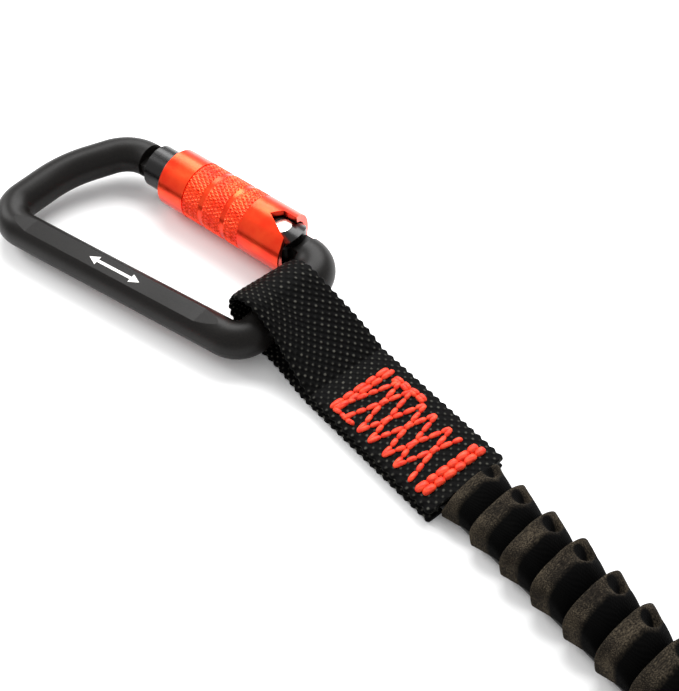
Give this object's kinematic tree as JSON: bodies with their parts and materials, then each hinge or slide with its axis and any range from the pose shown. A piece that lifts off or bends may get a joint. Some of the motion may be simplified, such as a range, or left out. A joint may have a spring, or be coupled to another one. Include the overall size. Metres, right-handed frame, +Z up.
{
  "type": "shock absorbing lanyard",
  "caption": "Elastic lanyard strap in a gathered fabric cover, with a sewn webbing loop and a twist-lock carabiner at each end.",
  "frame": {"origin": "on the floor, under the middle of the near carabiner and its webbing loop", "axes": "+X from the near carabiner's basket along it towards the strap, +Z up from the floor it lies on"},
  "size_m": [0.418, 0.295, 0.0182],
  "materials": {
    "black_anodised_body": "forged, satin black anodised",
    "black_anodised_gate": "turned, satin black anodised",
    "red_anodised_sleeve": "diamond knurled, orange-red anodised",
    "rivet_steel": "bright formed head",
    "plunger_steel": "turned",
    "spring_steel": "drawn wire",
    "pin_steel": "ground",
    "printed_mark": "white print",
    "black_webbing": "woven polyester webbing",
    "red_thread": "heavy bonded thread",
    "pleated_cover": "gathered plain weave",
    "elastic_band": "braided elastic"
  },
  "bodies": {
    "strap": {"shirred_cover": "pleated_cover", "elastic_core": "elastic_band", "near_loop_webbing": "black_webbing", "near_start_bartack": "red_thread", "near_closing_bartack": "red_thread", "near_zigzag_thread": "red_thread", "far_loop_webbing": "black_webbing", "far_start_bartack": "red_thread", "far_closing_bartack": "red_thread", "far_zigzag_thread": "red_thread"},
    "near_carabiner": {"near_carabiner_body": "black_anodised_body", "near_hinge_rivet": "rivet_steel", "near_load_mark": "printed_mark"},
    "near_gate": {"near_gate_tube": "black_anodised_gate", "near_guide_pin": "pin_steel", "near_gate_spring": "spring_steel", "near_sleeve_spring": "spring_steel"},
    "near_plunger": {"near_gate_plunger": "plunger_steel"},
    "near_sleeve": {"near_lock_sleeve": "red_anodised_sleeve"},
    "far_carabiner": {"far_carabiner_body": "black_anodised_body", "far_hinge_rivet": "rivet_steel", "far_load_mark": "printed_mark"},
    "far_gate": {"far_gate_tube": "black_anodised_gate", "far_guide_pin": "pin_steel", "far_gate_spring": "spring_steel", "far_sleeve_spring": "spring_steel"},
    "far_plunger": {"far_gate_plunger": "plunger_steel"},
    "far_sleeve": {"far_lock_sleeve": "red_anodised_sleeve"}
  },
  "joints": [
    {"name": "near_carabiner_swing", "type": "hinge", "parent": "strap", "child": "near_carabiner", "pos_m": [0.00995, 0.02, 0.0091], "axis": [0, 0.9986, 0.0523], "range_deg": [0, 120], "deforming": ["near_loop_webbing"]},
    {"name": "near_gate_swing", "type": "hinge", "parent": "near_carabiner", "child": "near_gate", "pos_m": [-0.00565, 0.02, 0.0091], "axis": [0, -0.0523, 0.9986], "range_deg": [0, 24], "stiffness_Nm_per_rad": 0.4, "springref_deg": -28.65},
    {"name": "near_plunger_slide", "type": "slide", "parent": "near_gate", "child": "near_plunger", "axis": [-1, 0, 0], "range_m": [0, 0.00072], "deforming": ["near_gate_spring"]},
    {"name": "near_sleeve_twist", "type": "hinge", "parent": "near_gate", "child": "near_sleeve", "pos_m": [-0.02565, 0.02, 0.0091], "axis": [1, 0, 0], "range_deg": [0, 90], "stiffness_Nm_per_rad": 0.02, "springref_deg": -28.65, "deforming": ["near_sleeve_spring"]},
    {"name": "far_carabiner_swing", "type": "hinge", "parent": "strap", "child": "far_carabiner", "pos_m": [-0.01919, -0.20337, 0.0091], "axis": [0, 0.9986, 0.0523], "range_deg": [0, 120], "deforming": ["far_loop_webbing"]},
    {"name": "far_gate_swing", "type": "hinge", "parent": "far_carabiner", "child": "far_gate", "pos_m": [-0.03479, -0.20337, 0.0091], "axis": [0, -0.0523, 0.9986], "range_deg": [0, 24], "stiffness_Nm_per_rad": 0.4, "springref_deg": -28.65},
    {"name": "far_plunger_slide", "type": "slide", "parent": "far_gate", "child": "far_plunger", "axis": [-1, 0, 0], "range_m": [0, 0.00072], "deforming": ["far_gate_spring"]},
    {"name": "far_sleeve_twist", "type": "hinge", "parent": "far_gate", "child": "far_sleeve", "pos_m": [-0.05479, -0.20337, 0.0091], "axis": [1, 0, 0], "range_deg": [0, 90], "stiffness_Nm_per_rad": 0.02, "springref_deg": -28.65, "deforming": ["far_sleeve_spring"]}
  ],
  "couplings": [
    {"joint": "near_plunger_slide", "follows": "near_gate_swing", "m_per_rad": 0.0017188},
    {"joint": "far_plunger_slide", "follows": "far_gate_swing", "m_per_rad": 0.0017188}
  ]
}
